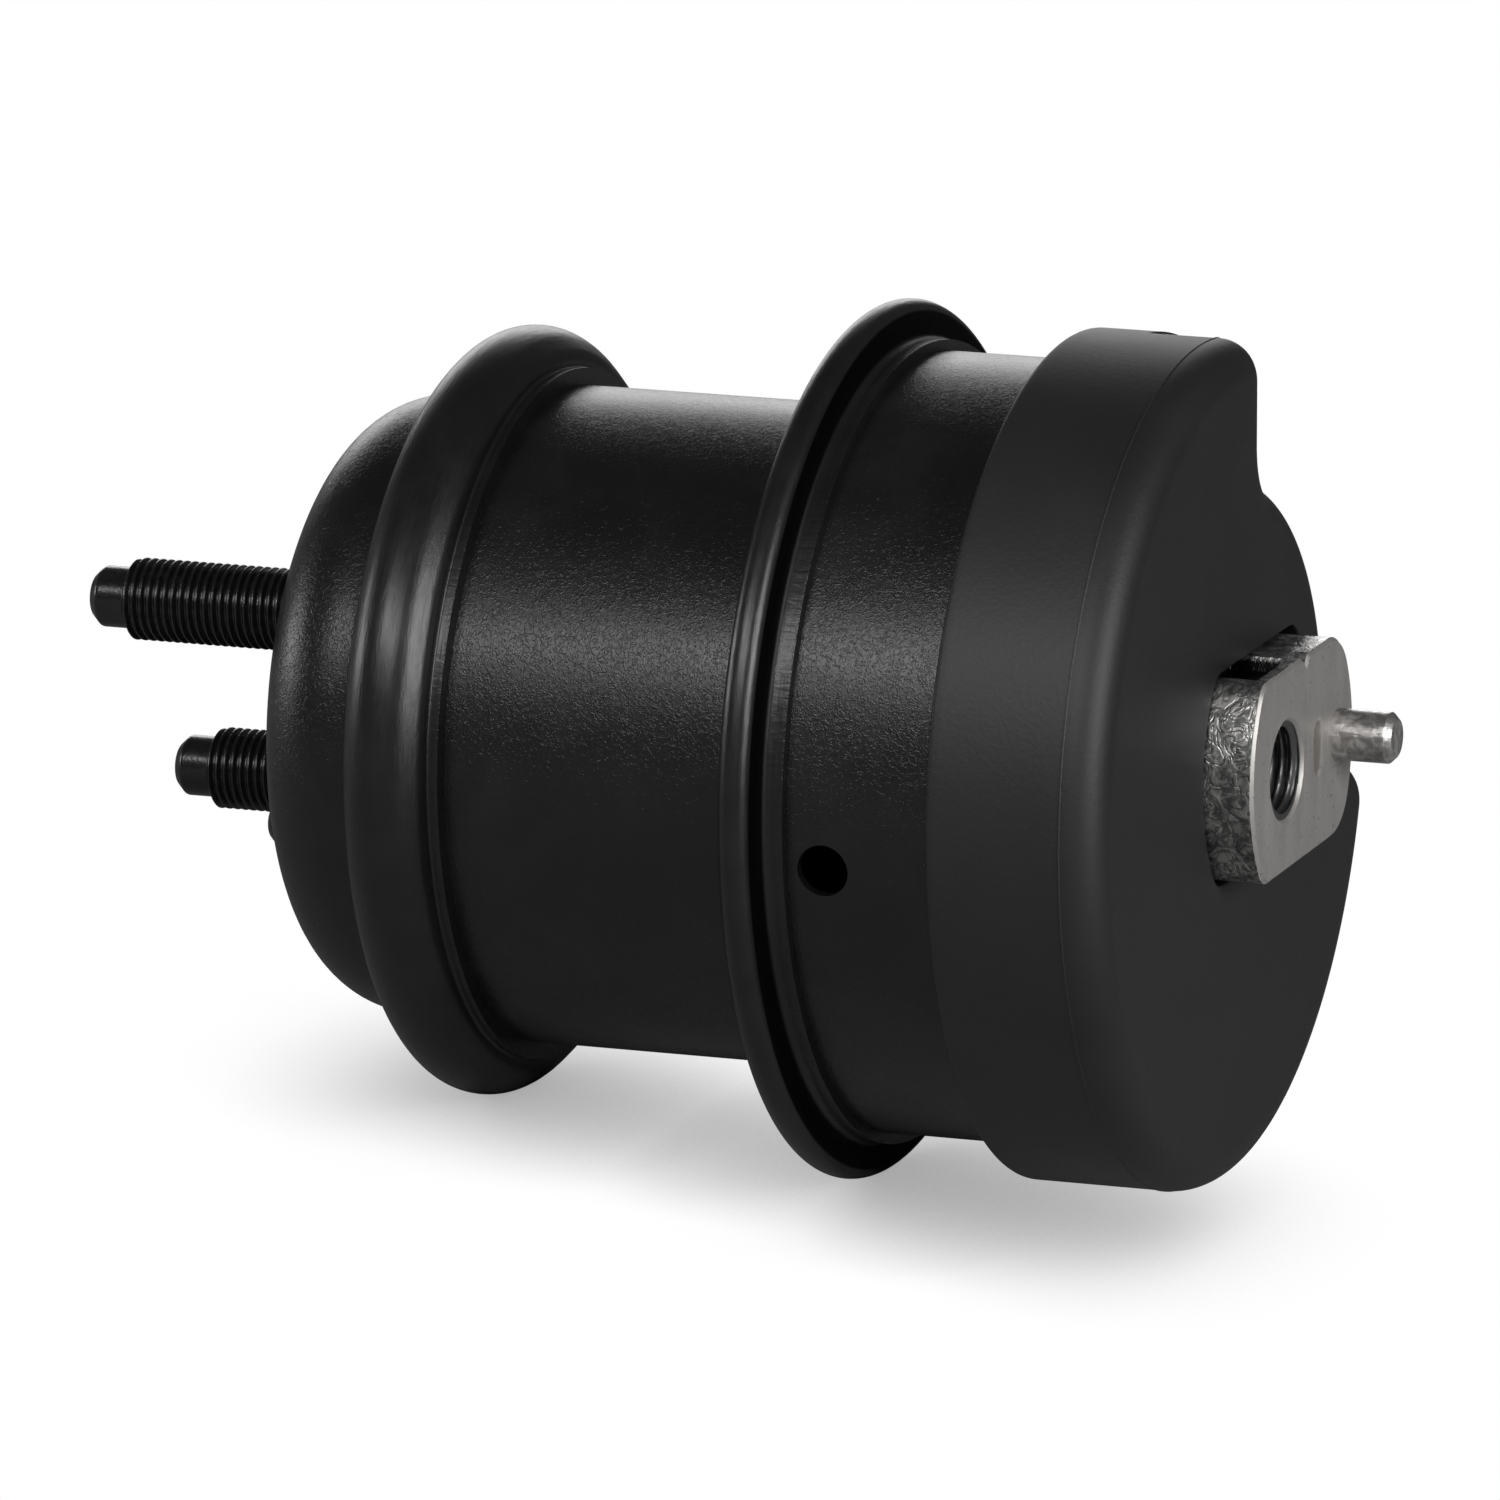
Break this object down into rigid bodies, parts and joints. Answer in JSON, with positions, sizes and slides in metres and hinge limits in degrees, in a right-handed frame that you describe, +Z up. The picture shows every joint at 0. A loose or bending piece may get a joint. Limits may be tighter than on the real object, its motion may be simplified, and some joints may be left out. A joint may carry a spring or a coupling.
{
  "type": "hydraulic engine mount",
  "caption": "Cylindrical fluid-filled engine mount with crimped sheet-metal shells, frame studs, a notched rubber cap and a flatted steel boss with a tapped hole and a locating pin.",
  "frame": {"origin": "centre of the flat base seat of the lower cup, on the mount's axis", "axes": "+X along the mount's axis from the frame studs towards the engine boss, +Z up as the mount lies on its side, +Y to the left seen from the stud end"},
  "size_m": [0.1855, 0.1266, 0.1266],
  "materials": {
    "shell_paint": "satin black coating with a fine wrinkled grain",
    "stud_coating": "glossy black coating on steel threads",
    "cap_rubber": "matt moulded rubber with a fine grain",
    "forged_steel": "bare forged steel, worn on its flank and smooth on its face",
    "pin_steel": "bare drawn steel with light wear",
    "inner_steel": "plain pressed steel",
    "track_alloy": "as cast",
    "inner_rubber": "matt moulded rubber"
  },
  "bodies": {
    "root": {"lower_cup": "shell_paint", "middle_shell": "shell_paint", "upper_shell": "shell_paint", "frame_stud_upper": "stud_coating", "frame_stud_lower": "stud_coating", "base_dowel": "stud_coating", "rubber_cap": "cap_rubber", "inner_core": "forged_steel", "locating_pin": "pin_steel", "stud_plate": "inner_steel", "track_lower_plate": "inner_steel", "track_upper_plate": "inner_steel", "spring_sleeve": "inner_steel", "stop_plate": "inner_steel", "track_rivets": "inner_steel", "track_body": "track_alloy", "diaphragm": "inner_rubber", "decoupler": "inner_rubber", "main_spring": "inner_rubber", "stop_pad": "inner_rubber"}
  },
  "joints": []
}
